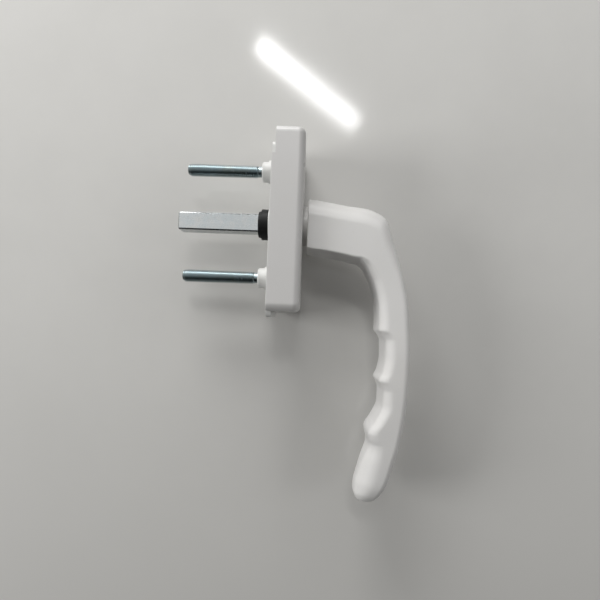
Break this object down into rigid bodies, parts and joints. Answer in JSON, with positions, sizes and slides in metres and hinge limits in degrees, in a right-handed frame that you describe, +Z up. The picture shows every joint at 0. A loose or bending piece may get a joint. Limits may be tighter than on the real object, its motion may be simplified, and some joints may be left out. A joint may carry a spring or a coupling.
{
  "type": "window handle",
  "caption": "Lever handle for a turn or tilt window: finger-grooved white lever on a narrow oblong rose with a lift-off cover, square spindle and fixing screws.",
  "frame": {"origin": "on the spindle's axis, in the mounting face of the rose", "axes": "+X from the window into the room along the spindle, +Z up, the lever hangs down along -Z"},
  "size_m": [0.0914, 0.03, 0.14],
  "materials": {
    "coated_aluminium": "satin",
    "white_cover_plastic": "satin",
    "white_moulding": "satin",
    "natural_plastic": "satin",
    "black_plastic": "satin",
    "zinc_plated_steel": "satin",
    "spring_steel": "satin"
  },
  "bodies": {
    "base": {"base_body": "white_moulding", "mounting_plate": "zinc_plated_steel", "bearing_bush": "natural_plastic", "friction_washer": "natural_plastic", "disc_spring": "spring_steel", "mounting_screws": "zinc_plated_steel", "detent_ball_1": "spring_steel", "detent_ball_2": "spring_steel", "detent_ball_3": "spring_steel", "detent_ball_4": "spring_steel", "detent_spring_1": "spring_steel", "detent_spring_2": "spring_steel", "detent_spring_3": "spring_steel", "detent_spring_4": "spring_steel"},
    "handle": {"lever": "coated_aluminium", "spindle": "zinc_plated_steel", "spindle_pin": "zinc_plated_steel", "index_disc": "zinc_plated_steel", "circlip": "spring_steel", "spindle_collar": "black_plastic"},
    "cap": {"cover": "white_cover_plastic"}
  },
  "joints": [
    {"name": "handle_turn", "type": "hinge", "parent": "base", "child": "handle", "pos_m": [0, 0, 0], "axis": [-1, 0, 0], "continuous": true},
    {"name": "cover_lift", "type": "slide", "parent": "base", "child": "cap", "axis": [1, 0, 0], "range_m": [0, 0.0015]}
  ]
}
